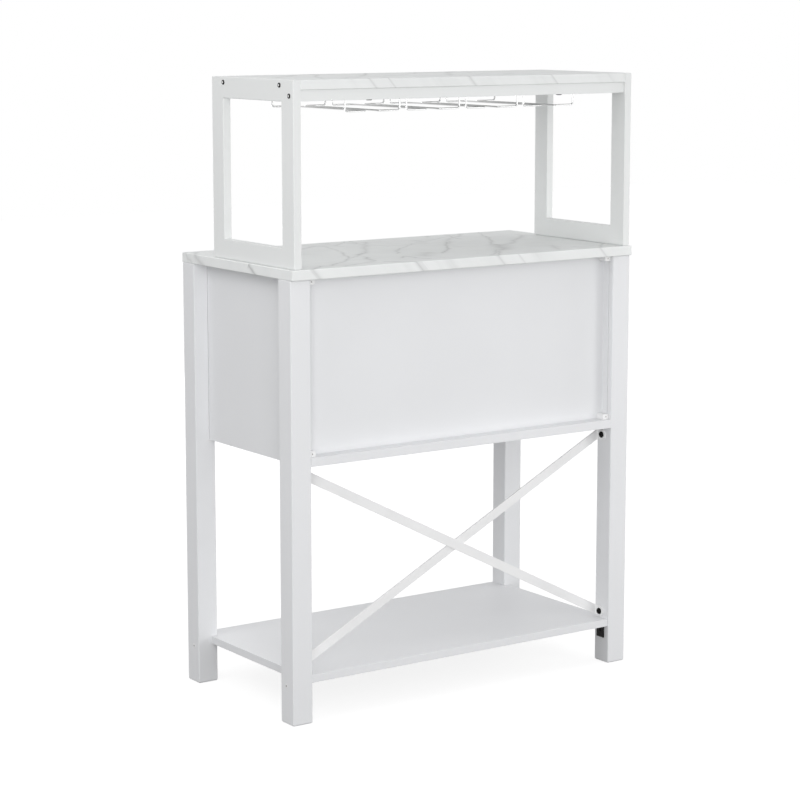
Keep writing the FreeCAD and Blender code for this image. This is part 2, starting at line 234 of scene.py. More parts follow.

# Veins of the printed pattern as seen from above: strength, half width and points
vein_runs = (
    (0.60, 0.0030, ((0.275, 0.172), (0.186, 0.088), (0.138, -0.002))),
    (0.35, 0.0026, ((0.138, -0.002), (0.105, -0.120))),
    (0.45, 0.0026, ((0.186, 0.088), (0.138, 0.049))),
    (0.80, 0.0040, ((0.138, 0.049), (0.107, 0.019))),
    (0.40, 0.0060, ((0.112, 0.022), (0.048, -0.066), (-0.004, -0.141))),
    (0.65, 0.0032, ((0.150, 0.075), (0.160, 0.110), (0.168, 0.143))),
    (0.50, 0.0030, ((0.262, 0.190), (0.211, 0.162), (0.176, 0.147))),
    (0.40, 0.0040, ((0.175, -0.090), (0.114, -0.128), (0.070, -0.100))),
    (0.60, 0.0030, ((0.107, 0.135), (0.074, 0.108), (0.085, 0.151), (0.070, 0.176))),
    (0.70, 0.0028, ((0.165, 0.165), (0.129, 0.186), (0.112, 0.199), (0.106, 0.216))),
    (0.35, 0.0140, ((0.055, 0.135), (0.005, 0.075))),
    (0.35, 0.0026, ((0.013, -0.006), (-0.051, -0.054), (-0.107, -0.090), (-0.220, -0.149))),
    (0.50, 0.0030, ((0.011, -0.005), (0.040, 0.030), (0.066, 0.063))),
    (0.65, 0.0034, ((-0.130, -0.060), (-0.101, -0.009), (-0.024, 0.088), (-0.003, 0.109))),
    (0.35, 0.0060, ((-0.101, -0.009), (-0.174, -0.103))),
    (0.40, 0.0040, ((-0.245, -0.170), (-0.214, -0.123), (-0.174, -0.103))),
    (0.50, 0.0034, ((-0.260, -0.100), (-0.227, -0.049), (-0.161, 0.057))),
    (0.60, 0.0130, ((-0.185, 0.040), (-0.125, 0.125))),
    (0.45, 0.0050, ((-0.170, 0.060), (-0.202, 0.047), (-0.327, -0.070))),
    (0.50, 0.0030, ((-0.120, 0.110), (-0.113, 0.131), (-0.050, 0.191))),
    (0.50, 0.0030, ((-0.120, 0.130), (-0.086, 0.165), (-0.062, 0.199), (-0.055, 0.225))),
    (0.40, 0.0026, ((-0.131, 0.127), (-0.150, 0.121))),
    (0.35, 0.0026, ((-0.103, 0.170), (-0.104, 0.220))),
    (0.35, 0.0050, ((-0.255, 0.109), (-0.221, 0.172))),
    (0.50, 0.0026, ((-0.270, 0.150), (-0.296, 0.199), (-0.300, 0.225))),
    (0.55, 0.0030, ((0.300, 0.160), (0.333, 0.199), (0.345, 0.225))),
    (0.45, 0.0036, ((0.350, -0.190), (0.376, -0.157), (0.395, -0.131))),
    (0.55, 0.0036, ((0.350, -0.165), (0.380, -0.119), (0.395, -0.094))),
    (0.95, 0.0030, ((0.377, 0.061), (0.395, 0.085))),
    (0.45, 0.0026, ((0.335, 0.198), (0.300, 0.160), (0.275, 0.172))),
    (0.45, 0.0026, ((0.125, -0.110), (0.085, -0.112), (0.020, -0.175))),
    (0.45, 0.0026, ((-0.300, 0.198), (-0.375, 0.120))),
    (0.35, 0.0026, ((-0.250, -0.095), (-0.300, -0.176))),
    (0.50, 0.0026, ((-0.185, -0.080), (-0.200, -0.140), (-0.218, -0.200))),
    (0.45, 0.0026, ((-0.150, -0.150), (-0.172, -0.200))),
    (0.50, 0.0026, ((0.030, -0.120), (-0.005, -0.200))),
    (0.45, 0.0028, ((0.114, -0.128), (0.150, -0.160), (0.178, -0.200))),
)

# The pattern as it lies on the table top, and turned round for the shelf
pattern_as_laid = (1, 1, 1)
pattern_turned_round = (-1, -1, 1)

# A Mix node's colour sockets, by number because they share their names with its other sockets
mix_colour_a = 6
mix_colour_b = 7
mix_colour_result = 2

# Floor
floor_half = 9.0
floor_drop = 0.0002
floor_tone_scale = 2.0
floor_tones = ((0.3, 0.24), (0.7, 0.26))
floor_roughness = 0.9
floor_shadow_grey = 0.30
floor_glow = 0.82

# Light: the grey of the room, and square lamps with place, the point they face, width and watts
room_grey = 0.655
room_blue_share = 1.01
lamps = (
    ("camera side key", (2.0, 2.9, 0.9), (0, 0, 0.6), 2.0, 38),
    ("upper key", (2.0, 2.9, 1.7), (0, 0, 0.6), 2.0, 14),
    ("rear fill", (-1.2, 1.6, 0.5), (0, 0, 0.6), 0.8, 6.6),
    ("left fill", (1.8, 0.2, 2.0), (0, 0, 0.6), 1.0, 7.0),
    ("right fill", (-3.2, 0.4, 1.0), (0, 0, 0.6), 1.6, 26),
    ("front fill", (-0.8, -3.6, 0.40), (0, 0, 0.4), 1.0, 38),
)


def node_body(name):
    for body, members in frame["record"]["behaviour"]["bodies"].items():
        if name in members:
            return body
    return "base"


def linked(name, data):
    piece = bpy.data.objects.new(name, data)
    bpy.context.scene.collection.objects.link(piece)
    return piece


def mesh_from(bm, name):
    mesh = bpy.data.meshes.new(name)
    bm.to_mesh(mesh)
    bm.free()
    return mesh


def dress(piece, material, body):
    # Gives a finished piece its material, body and slot
    piece.data.materials.clear()
    piece.data.materials.append(material)
    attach(piece, body)
    return piece


def smooth_with_sharp_edges(bm):
    for face in bm.faces:
        face.smooth = True
    for edge in bm.edges:
        edge.smooth = len(edge.link_faces) == 2 and edge.calc_face_angle(0) < sharp_angle


def round_edges(bm, edges, radius):
    bmesh.ops.bevel(bm, geom=edges, offset=radius, segments=edge_segments, profile=edge_profile,
                    affect="EDGES", clamp_overlap=True)


def weigh_normals(piece):
    # Keeps the large faces flat beside their rounded edges
    modifier = piece.modifiers.new("flat faces", "WEIGHTED_NORMAL")
    modifier.keep_sharp = True


def rounded_copy(node, edge_radius, material):
    # The node's own solid with its sharp edges rounded, in place of the node
    bm = bmesh.new()
    bm.from_mesh(frame["nodes"][node].data)
    bmesh.ops.remove_doubles(bm, verts=bm.verts, dist=merge_distance)
    bmesh.ops.dissolve_limit(bm, angle_limit=flat_angle, verts=bm.verts, edges=bm.edges)
    if edge_radius:
        sharp = [edge for edge in bm.edges if edge.calc_face_angle(0) > sharp_angle]
        round_edges(bm, sharp, edge_radius)
    smooth_with_sharp_edges(bm)
    piece = linked(node + "_finished", mesh_from(bm, node + "_finished"))
    weigh_normals(piece)
    dress(piece, material, node_body(node))
    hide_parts(node)


def rounded_box(name, low, high, edge_radius):
    bm = bmesh.new()
    bmesh.ops.create_cube(bm, size=1.0)
    size = high - low
    middle = (high + low) / 2
    placing = Matrix.Translation(middle) @ Matrix.Diagonal(size.to_4d())
    bmesh.ops.transform(bm, verts=bm.verts, matrix=placing)
    round_edges(bm, bm.edges[:], edge_radius)
    smooth_with_sharp_edges(bm)
    piece = linked(name, mesh_from(bm, name))
    weigh_normals(piece)
    return piece


def circle(radius):
    return lambda angle: radius


def hexagon(radius):
    # Distance to a hexagon's outline, by angle
    sector = math.pi / 3
    return lambda angle: radius * math.cos(sector / 2) / math.cos(angle % sector - sector / 2)


def cross(reach, half_width):
    # Distance to a cross's outline, by angle
    def distance(angle):
        quarter = angle % (math.pi / 2)
        turn = min(quarter, math.pi / 2 - quarter)
        if math.tan(turn) < half_width / reach:
            return reach / math.cos(turn)
        return half_width / math.sin(turn)
    return distance


def stacked_rings(name, rings):
    # A solid along +Z made of rings of points, closed at its first and last ring
    bm = bmesh.new()
    loops = []
    for outline, height in rings:
        loop = []
        for number in range(ring_points):
            angle = math.tau * number / ring_points
            distance = outline(angle)
            loop.append(bm.verts.new((distance * math.cos(angle), distance * math.sin(angle), height)))
        loops.append(loop)
    for low, high in zip(loops, loops[1:]):
        for number in range(ring_points):
            after = (number + 1) % ring_points
            bm.faces.new((low[number], low[after], high[after], high[number]))
    bm.faces.new(list(reversed(loops[0])))
    bm.faces.new(loops[-1])
    bmesh.ops.recalc_face_normals(bm, faces=bm.faces)
    smooth_with_sharp_edges(bm)
    return mesh_from(bm, name)


def round_rings(radius, height, shares):
    return [(circle(radius * share), height * rise) for share, rise in shares]


def domed_head(name, radius, height, recess, depth_share):
    # A low dome with a recess in its crown
    rings = round_rings(radius, height, dome_shares)
    rings.append((recess, height))
    rings.append((recess, height - height * depth_share))
    return stacked_rings(name, rings)


def pan_head(name, radius, height):
    reach = radius * cross_reach_share
    return domed_head(name, radius, height, cross(reach, reach * cross_arm_share), deep_recess_share)


def socket_head(name, radius, height, socket):
    return domed_head(name, radius, height, hexagon(socket), deep_recess_share)


def fasten(name, mesh, place, direction, material, body):
    # A copy of a fastener's mesh at its place, with its head towards a direction
    piece = linked(name, mesh.copy())
    turning = Vector(direction).to_track_quat("Z", "Y").to_matrix().to_4x4()
    piece.matrix_world = Matrix.Translation(place) @ turning
    dress(piece, material, body)


def material_nodes(name):
    material = bpy.data.materials.new(name)
    material.use_nodes = True
    nodes = material.node_tree.nodes
    shader = nodes["Principled BSDF"]
    return material, nodes, material.node_tree.links, shader


def place_texture(nodes, links, stretch=(1, 1, 1)):
    # Object coordinates in metres, times a scale on each axis
    coordinates = nodes.new("ShaderNodeTexCoord")
    mapping = nodes.new("ShaderNodeMapping")
    mapping.inputs["Scale"].default_value = stretch
    links.new(coordinates.outputs["Object"], mapping.inputs["Vector"])
    return mapping.outputs["Vector"]


def noise(nodes, links, vector, scale, detail=usual_detail, roughness=usual_roughness):
    texture = nodes.new("ShaderNodeTexNoise")
    texture.inputs["Scale"].default_value = scale
    texture.inputs["Detail"].default_value = detail
    texture.inputs["Roughness"].default_value = roughness
    links.new(vector, texture.inputs["Vector"])
    return texture.outputs["Fac"]


def tint(grey, cast=neutral_cast):
    return tuple(grey * part for part in cast) + (1,)


def ramp(nodes, links, value, stops):
    # Each stop has its position and its colour, or a plain grey
    node = nodes.new("ShaderNodeValToRGB")
    elements = node.color_ramp.elements
    while len(elements) < len(stops):
        elements.new(1.0)
    for element, (position, colour) in zip(elements, stops):
        element.position = position
        element.color = colour if isinstance(colour, tuple) else tint(colour)
    links.new(value, node.inputs["Fac"])
    return node.outputs["Color"]


def toned(nodes, links, value, grey, shares, cast):
    # The grey, a little darker where the value is low and paler where it is high
    stops = [(stop, tint(grey * share, cast)) for stop, share in zip(tone_stops, shares)]
    return ramp(nodes, links, value, stops)


def spread(nodes, links, value, limits):
    # A value from zero to one, spread between two limits
    low, high = limits
    node = nodes.new("ShaderNodeMapRange")
    node.inputs["To Min"].default_value = low
    node.inputs["To Max"].default_value = high
    links.new(value, node.inputs["Value"])
    return node.outputs["Result"]


def bump(nodes, links, height, relief, before=None):
    strength, depth = relief
    node = nodes.new("ShaderNodeBump")
    node.inputs["Strength"].default_value = strength
    node.inputs["Distance"].default_value = depth
    links.new(height, node.inputs["Height"])
    if before:
        links.new(before, node.inputs["Normal"])
    return node.outputs["Normal"]


def calculated(nodes, links, operation, first, second):
    # A Math node's result from two values, each a socket or a plain number
    node = nodes.new("ShaderNodeMath")
    node.operation = operation
    for value, socket in zip((first, second), node.inputs):
        if isinstance(value, float):
            socket.default_value = value
        else:
            links.new(value, socket)
    return node.outputs["Value"]


def grain_along(axis):
    # The scales of a grain that runs along one axis
    return tuple(grain_scale_along if name == axis else grain_scale_across for name in "xyz")


def lacquered_board(name, grain_stretch, grey, cast):
    # White lacquer over board: a trace of brushed grain, orange peel and slight tone change
    material, nodes, links, shader = material_nodes(name)
    grain_vector = place_texture(nodes, links, grain_stretch)
    plain_vector = place_texture(nodes, links)
    tone = noise(nodes, links, plain_vector, board_tone_scale)
    links.new(toned(nodes, links, tone, grey, board_tone_shares, cast), shader.inputs["Base Color"])
    grain = noise(nodes, links, grain_vector, plain_scale, grain_detail)
    peel = noise(nodes, links, plain_vector, lacquer_peel_scale, fine_detail)
    links.new(spread(nodes, links, grain, board_roughness), shader.inputs["Roughness"])
    grain_normal = bump(nodes, links, grain, grain_relief)
    links.new(bump(nodes, links, peel, lacquer_relief, grain_normal), shader.inputs["Normal"])
    shader.inputs["Specular IOR Level"].default_value = board_specular
    return material


def powder_coat(name, grey, peel_strength, specular):
    # Baked powder: slight tone change and a fine orange peel
    material, nodes, links, shader = material_nodes(name)
    vector = place_texture(nodes, links)
    tone = noise(nodes, links, vector, coat_tone_scale)
    links.new(toned(nodes, links, tone, grey, coat_tone_shares, neutral_cast), shader.inputs["Base Color"])
    peel = noise(nodes, links, vector, coat_peel_scale, fine_detail)
    links.new(spread(nodes, links, tone, coat_roughness), shader.inputs["Roughness"])
    links.new(bump(nodes, links, peel, (peel_strength, coat_peel_depth)), shader.inputs["Normal"])
    shader.inputs["Specular IOR Level"].default_value = specular
    return material


def metal(name, grey, roughness, cast=neutral_cast):
    # Plated metal with faint smears
    material, nodes, links, shader = material_nodes(name)
    vector = place_texture(nodes, links)
    smear = noise(nodes, links, vector, metal_smear_scale, metal_smear_detail)
    links.new(toned(nodes, links, smear, grey, metal_tone_shares, cast), shader.inputs["Base Color"])
    links.new(spread(nodes, links, smear, roughness), shader.inputs["Roughness"])
    shader.inputs["Metallic"].default_value = 1.0
    return material


def moulded_plastic(name, grey):
    # White plastic with the mould's fine texture
    material, nodes, links, shader = material_nodes(name)
    vector = place_texture(nodes, links)
    mottle = noise(nodes, links, vector, plastic_mottle_scale)
    colour = toned(nodes, links, mottle, grey, plastic_tone_shares, neutral_cast)
    links.new(colour, shader.inputs["Base Color"])
    texture = noise(nodes, links, vector, plastic_texture_scale, plain_detail)
    links.new(spread(nodes, links, mottle, plastic_roughness), shader.inputs["Roughness"])
    links.new(bump(nodes, links, texture, plastic_relief), shader.inputs["Normal"])
    return material


def faded(nodes, links, value, full, gone):
    # One near zero, falling to nothing between two distances
    size = calculated(nodes, links, "ABSOLUTE", value, 0.0)
    fade = nodes.new("ShaderNodeMapRange")
    fade.inputs["From Min"].default_value = full
    fade.inputs["From Max"].default_value = gone
    fade.inputs["To Min"].default_value = 1.0
    fade.inputs["To Max"].default_value = 0.0
    links.new(size, fade.inputs["Value"])
    return fade.outputs["Result"]


def vein_run_group():
    # One straight run of a vein: strongest on its line, fading to its sides and past its ends
    group = bpy.data.node_groups.new("vein run", "ShaderNodeTree")
    for label in ("Vector", "Middle", "Turn", "Size"):
        group.interface.new_socket(label, in_out="INPUT", socket_type="NodeSocketVector")
    group.interface.new_socket("Strength", in_out="INPUT", socket_type="NodeSocketFloat")
    group.interface.new_socket("Vein", in_out="OUTPUT", socket_type="NodeSocketFloat")
    nodes = group.nodes
    links = group.links
    entry = nodes.new("NodeGroupInput")
    leave = nodes.new("NodeGroupOutput")
    mapping = nodes.new("ShaderNodeMapping")
    mapping.vector_type = "TEXTURE"
    wires = (("Vector", "Vector"), ("Middle", "Location"), ("Turn", "Rotation"), ("Size", "Scale"))
    for label, socket in wires:
        links.new(entry.outputs[label], mapping.inputs[socket])
    parts = nodes.new("ShaderNodeSeparateXYZ")
    links.new(mapping.outputs["Vector"], parts.inputs["Vector"])
    along = faded(nodes, links, parts.outputs["X"], run_fade_start, run_fade_end)
    across = faded(nodes, links, parts.outputs["Y"], 0.0, 1.0)
    shape = calculated(nodes, links, "MULTIPLY", along, across)
    total = calculated(nodes, links, "MULTIPLY", shape, entry.outputs["Strength"])
    links.new(total, leave.inputs["Vein"])
    return group


def placed_run(nodes, links, vector, group, strength, half_width, start, end):
    run = nodes.new("ShaderNodeGroup")
    run.node_tree = group
    along = Vector(end) - Vector(start)
    middle = (Vector(end) + Vector(start)) / 2
    links.new(vector, run.inputs["Vector"])
    run.inputs["Middle"].default_value = (middle.x, middle.y, 0)
    run.inputs["Turn"].default_value = (0, 0, math.atan2(along.y, along.x))
    run.inputs["Size"].default_value = (along.length, half_width * vein_halo_width, 1)
    run.inputs["Strength"].default_value = strength ** (1 / vein_halo_power)
    return run.outputs["Vein"]


def hand_placed_veins(nodes, links, vector, group):
    # The strongest of all the runs at each point
    total = None
    for strength, half_width, points in vein_runs:
        for start, end in zip(points, points[1:]):
            run = placed_run(nodes, links, vector, group, strength, half_width, start, end)
            total = run if total is None else calculated(nodes, links, "MAXIMUM", total, run)
    return calculated(nodes, links, "POWER", total, vein_halo_power)


def hair_veins(nodes, links, vector, patch_vector):
    # Thin lines along the borders of long cells, where the patches let them show
    turned = nodes.new("ShaderNodeMapping")
    turned.inputs["Rotation"].default_value = (0, 0, hair_turn)
    turned.inputs["Scale"].default_value = hair_stretch
    links.new(vector, turned.inputs["Vector"])
    cells = nodes.new("ShaderNodeTexVoronoi")
    cells.feature = "DISTANCE_TO_EDGE"
    cells.inputs["Scale"].default_value = plain_scale
    links.new(turned.outputs["Vector"], cells.inputs["Vector"])
    hair = ramp(nodes, links, cells.outputs["Distance"], hair_stops)
    patches = noise(nodes, links, patch_vector, hair_patch_scale, fine_detail)
    presence = ramp(nodes, links, patches, hair_patch_stops)
    return calculated(nodes, links, "MULTIPLY", hair, presence)


def sheared(nodes, links, vector, level, shear):
    # Leans the pattern over with the depth below a board's face, so that veins slant on its edges
    parts = nodes.new("ShaderNodeSeparateXYZ")
    links.new(vector, parts.inputs["Vector"])
    depth = calculated(nodes, links, "SUBTRACT", parts.outputs["Z"], level)
    lean = calculated(nodes, links, "MULTIPLY", depth, shear)
    moved = calculated(nodes, links, "ADD", lean, parts.outputs["X"])
    joined = nodes.new("ShaderNodeCombineXYZ")
    links.new(moved, joined.inputs["X"])
    links.new(parts.outputs["Y"], joined.inputs["Y"])
    return joined.outputs["Vector"]


def wandering(nodes, links, vector, scale, reach, detail):
    # Pushes a vector about, so that straight runs wander
    texture = nodes.new("ShaderNodeTexNoise")
    texture.inputs["Scale"].default_value = scale
    texture.inputs["Detail"].default_value = detail
    texture.inputs["Roughness"].default_value = wander_roughness
    links.new(vector, texture.inputs["Vector"])
    centred = nodes.new("ShaderNodeVectorMath")
    centred.operation = "SUBTRACT"
    centred.inputs[1].default_value = noise_middle
    links.new(texture.outputs["Color"], centred.inputs[0])
    scaled = nodes.new("ShaderNodeVectorMath")
    scaled.operation = "SCALE"
    scaled.inputs["Scale"].default_value = reach
    links.new(centred.outputs["Vector"], scaled.inputs[0])
    moved = nodes.new("ShaderNodeVectorMath")
    links.new(vector, moved.inputs[0])
    links.new(scaled.outputs["Vector"], moved.inputs[1])
    return moved.outputs["Vector"]


def painted_light_on_top(nodes, links, colour, painted_top_share):
    # Painted light and shade: the colour times a share on faces that look up, and as it is on the edge
    # strips
    geometry = nodes.new("ShaderNodeNewGeometry")
    parts = nodes.new("ShaderNodeSeparateXYZ")
    links.new(geometry.outputs["Normal"], parts.inputs["Vector"])
    scaled = nodes.new("ShaderNodeVectorMath")
    scaled.operation = "SCALE"
    links.new(colour, scaled.inputs[0])
    links.new(spread(nodes, links, parts.outputs["Z"], (1.0, painted_top_share)), scaled.inputs["Scale"])
    return scaled.outputs["Vector"]


def marble_pattern(name, group, board, stretch, painted_top_share):
    # White laminate printed with pale clouds and thin grey veins
    material, nodes, links, shader = material_nodes(name)
    vector = place_texture(nodes, links, stretch)
    flat = sheared(nodes, links, vector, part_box(board)[1].z, vein_shear * stretch[0])
    coarse = wandering(nodes, links, flat, *coarse_wander)
    fine = wandering(nodes, links, coarse, *fine_wander)
    placed = hand_placed_veins(nodes, links, fine, group)
    hair = hair_veins(nodes, links, fine, vector)
    veins = calculated(nodes, links, "MAXIMUM", placed, hair)
    clouds = noise(nodes, links, coarse, cloud_scale, cloud_detail, cloud_roughness)
    ground = ramp(nodes, links, clouds, [(level, tint(grey, green_cast)) for level, grey in ground_greys])
    mixed = nodes.new("ShaderNodeMix")
    mixed.data_type = "RGBA"
    links.new(veins, mixed.inputs["Factor"])
    # Painted light: the ground on the upper face is made paler or darker by its share, the edge strips
    # keep it as it is
    links.new(painted_light_on_top(nodes, links, ground, painted_top_share), mixed.inputs[mix_colour_a])
    mixed.inputs[mix_colour_b].default_value = tint(vein_grey, green_cast)
    links.new(mixed.outputs[mix_colour_result], shader.inputs["Base Color"])
    links.new(spread(nodes, links, clouds, marble_roughness), shader.inputs["Roughness"])
    shader.inputs["Specular IOR Level"].default_value = marble_specular
    emboss = noise(nodes, links, vector, emboss_scale, fine_detail)
    links.new(bump(nodes, links, emboss, emboss_relief), shader.inputs["Normal"])
    return material


def make_materials():
    made = {}
    for axis in "xyz":
        name = "white board, grain along " + axis
        made["board_" + axis] = lacquered_board(name, grain_along(axis), board_grey, cool_cast)
    group = vein_run_group()
    # The table's upper face gets painted light and the shelf's upper face painted shade
    made["marble_table"] = marble_pattern("marble pattern on the table top", group, "table_top",
                                          pattern_as_laid, table_top_painted_light)
    made["marble_shelf"] = marble_pattern("marble pattern on the shelf", group, "upper_shelf",
                                          pattern_turned_round, shelf_top_painted_shade)
    made["back"] = lacquered_board("white hardboard", hardboard_grain, hardboard_grey, cool_cast)
    for piece, axis in (("upper frames", "z"), ("rear rail", "x")):
        name = "white board, " + piece
        made["frame_" + axis] = lacquered_board(name, grain_along(axis), frame_grey, green_cast)
    made["white_steel"] = powder_coat("white powder coat", grey=0.86, peel_strength=0.3, specular=0.3)
    made["black_steel"] = powder_coat("black coat", grey=0.006, peel_strength=0.4, specular=0.12)
    made["wire"] = metal("bright wire", grey=0.62, roughness=(0.12, 0.24))
    made["nickel"] = metal("nickel plate", grey=0.42, roughness=(0.26, 0.38), cast=nickel_cast)
    # Also used for the painted shade in the leg bolts' sockets
    made["dark_screw"] = metal("steel screw and painted socket shade", grey=0.22, roughness=(0.30, 0.45))
    made["knob"] = metal("satin chrome", grey=0.40, roughness=(0.28, 0.38))
    made["bolt_centre"] = metal("bright bolt", grey=0.8, roughness=(0.25, 0.4))
    made["clip"] = moulded_plastic("moulded white plastic", grey=0.82)
    return made


materials = make_materials()


def finish_boards():
    for side in sides:
        for end in ends:
            rounded_copy("leg_%s_%s" % (end, side), leg_edge_radius, materials["board_z"])
        rounded_copy("side_panel_" + side, board_edge_radius, materials["board_y"])
        rounded_copy("side_frame_" + side, board_edge_radius, materials["frame_z"])
        rounded_copy("door_" + side, board_edge_radius, materials["board_z"])
        rounded_copy("knob_" + side, knob_edge_radius, materials["knob"])
    rounded_copy("table_top", top_edge_radius, materials["marble_table"])
    rounded_copy("upper_shelf", top_edge_radius, materials["marble_shelf"])
    rounded_copy("low_shelf", board_edge_radius, materials["board_x"])
    rounded_copy("cabinet_bottom", board_edge_radius, materials["board_x"])
    rounded_copy("rear_rail", board_edge_radius, materials["frame_x"])
    rounded_copy("back_panel", no_edge_radius, materials["back"])


def finish_metal_and_clips():
    for side in sides:
        for end in ends:
            bracket = "shelf_bracket_%s_%s" % (end, side)
            rounded_copy(bracket, metal_edge_radius, materials["black_steel"])
        for level in levels:
            for leaf in ("hinge_fixed_leaf", "hinge_moving_leaf"):
                leaf_node = "%s_%s_%s" % (leaf, level, side)
                rounded_copy(leaf_node, no_edge_radius, materials["nickel"])
            clip = "panel_clip_%s_%s" % (level, side)
            rounded_copy(clip, clip_edge_radius, materials["clip"])
        rounded_copy("striker_" + side, metal_edge_radius, materials["nickel"])
    rounded_copy("brace_rising", metal_edge_radius, materials["white_steel"])
    rounded_copy("brace_falling", metal_edge_radius, materials["white_steel"])
    rounded_copy("magnetic_catch", clip_edge_radius, materials["clip"])


def bent_line(points, radius):
    # Straight runs with a round right-angled bend at each inner point
    line = [points[0]]
    for before, corner, after in zip(points, points[1:], points[2:]):
        back = (before - corner).normalized()
        ahead = (after - corner).normalized()
        centre = corner + (back + ahead) * radius
        for step in range(bend_steps + 1):
            turn = math.pi / 2 * step / bend_steps
            line.append(centre - ahead * radius * math.cos(turn) - back * radius * math.sin(turn))
    line.append(points[-1])
    return line


def glass_rail(number):
    # One wire bent into a hanging loop, round where the frame's solid has flats, with its two plates
    node = "glass_rail_%d" % number
    low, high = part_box(node)
    middle_x = (low.x + high.x) / 2
    shelf_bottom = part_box("upper_shelf")[0].z
    front_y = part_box("side_frame_left")[0].y + rail_front_inset
    rear_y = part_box("rear_rail")[0].y - rail_rear_gap
    top_z = shelf_bottom - plate_thickness - wire_radius + weld_depth
    low_z = shelf_bottom - rail_drop
    wide = rail_width / 2
    slot = slot_width / 2
    half = ((wire_end_gap / 2, rear_y, top_z), (wide, rear_y, top_z), (wide, rear_y, low_z),
            (slot, rear_y, low_z), (slot, front_y, low_z), (wide, front_y, low_z), (wide, front_y, top_z))
    points = [Vector((middle_x + x, y, z)) for x, y, z in half]
    points += [Vector((middle_x - x, y, z)) for x, y, z in reversed(half)]
    bent_wire(node, bent_line(points, wire_bend_radius))
    for label, plate_y in (("front", front_y), ("rear", rear_y)):
        rail_plate(node + "_plate_" + label, middle_x, plate_y, shelf_bottom)


def bent_wire(node, line):
    curve = bpy.data.curves.new(node + "_wire", "CURVE")
    curve.dimensions = "3D"
    curve.bevel_depth = wire_radius
    curve.bevel_resolution = wire_roundness
    curve.use_fill_caps = True
    spline = curve.splines.new("POLY")
    spline.points.add(len(line) - 1)
    for place, point in zip(line, spline.points):
        point.co = (place.x, place.y, place.z, 1)
    spline.use_smooth = True
    wire = linked(node + "_wire", curve)
    dress(wire, materials["wire"], "base")
    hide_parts(node)


def rail_plate(name, middle_x, middle_y, shelf_bottom):
    # The small plate that holds a cross wire against the shelf
    rear_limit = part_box("rear_rail")[0].y
    back_y = min(middle_y + plate_width / 2, rear_limit)
    low = Vector((middle_x - plate_length / 2, middle_y - plate_width / 2, shelf_bottom - plate_thickness))
    high = Vector((middle_x + plate_length / 2, back_y, shelf_bottom))
    plate = rounded_box(name, low, high, metal_edge_radius)
    dress(plate, materials["wire"], "base")


def glass_rails():
    for number in range(1, glass_rail_count + 1):
        glass_rail(number)


def brace_screws():
    leg_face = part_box("leg_rear_left")[0].x
    tab_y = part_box("leg_rear_left")[0].y + brace_tab_back
    upper_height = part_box("cabinet_bottom")[0].z - brace_upper_drop
    mesh = socket_head("brace_screw", brace_screw_radius, brace_screw_height, brace_screw_socket)
    for side, sign in side_signs:
        for level, height in (("upper", upper_height), ("lower", brace_lower_height)):
            place = Vector((sign * (leg_face - brace_thickness), tab_y, height))
            fasten("brace_screw_%s_%s" % (level, side), mesh, place, (-sign, 0, 0),
                   materials["black_steel"], "base")


def frame_bolts():
    # Black rings with bright centres, through the side frames into the shelf and the rear rail
    low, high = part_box("side_frame_left")
    rail_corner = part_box("rear_rail")[1]
    shelf_z = high.z - frame_bolt_shelf_drop
    ring = domed_head("frame_bolt", frame_bolt_radius, frame_bolt_height, hexagon(frame_bolt_socket),
                      shallow_recess_share)
    centre = stacked_rings("frame_bolt_centre",
                           round_rings(frame_bolt_socket, frame_bolt_height, bolt_centre_shares))
    places = (("shelf_front", low.y + frame_bolt_front_inset, shelf_z),
              ("shelf_rear", high.y - frame_bolt_rear_inset, shelf_z),
              ("rail", rail_corner.y - frame_bolt_rail_inset, rail_corner.z - frame_bolt_rail_drop))
    for side, sign in side_signs:
        for label, y, z in places:
            place = Vector((sign * high.x, y, z))
            fasten("frame_bolt_%s_%s" % (label, side), ring, place, (sign, 0, 0),
                   materials["black_steel"], "base")
            fasten("frame_bolt_centre_%s_%s" % (label, side), centre, place, (sign, 0, 0),
                   materials["bolt_centre"], "base")


def rail_bolts():
    low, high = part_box("rear_rail")
    mesh = socket_head("rail_bolt", rail_bolt_radius, rail_bolt_height, brace_screw_socket)
    for side, sign in side_signs:
        place = Vector((sign * (high.x - rail_bolt_end_distance), (low.y + high.y) / 2, low.z))
        fasten("rear_rail_bolt_" + side, mesh, place, (0, 0, -1),
               materials["black_steel"], "base")


def clip_screws():
    mesh = pan_head("clip_screw", clip_screw_radius, clip_screw_height)
    for side in sides:
        for level in levels:
            low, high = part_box("panel_clip_%s_%s" % (level, side))
            place = Vector(((low.x + high.x) / 2, high.y, (low.z + high.z) / 2))
            fasten("clip_screw_%s_%s" % (level, side), mesh, place, (0, 1, 0),
                   materials["nickel"], "base")


def bracket_screws():
    # One screw into the leg and one up into the shelf at each bracket
    mesh = pan_head("bracket_screw", bracket_screw_radius, bracket_screw_height)
    for side, sign in side_signs:
        for end in ends:
            low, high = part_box("shelf_bracket_%s_%s" % (end, side))
            middle = (low + high) / 2
            leg_x = low.x if sign < 0 else high.x
            upright = Vector((leg_x - sign * bracket_thickness, middle.y, middle.z))
            fasten("bracket_screw_leg_%s_%s" % (end, side), mesh, upright, (-sign, 0, 0),
                   materials["black_steel"], "base")
            flat = Vector((middle.x, middle.y, high.z - bracket_thickness))
            fasten("bracket_screw_shelf_%s_%s" % (end, side), mesh, flat, (0, 0, -1),
                   materials["black_steel"], "base")


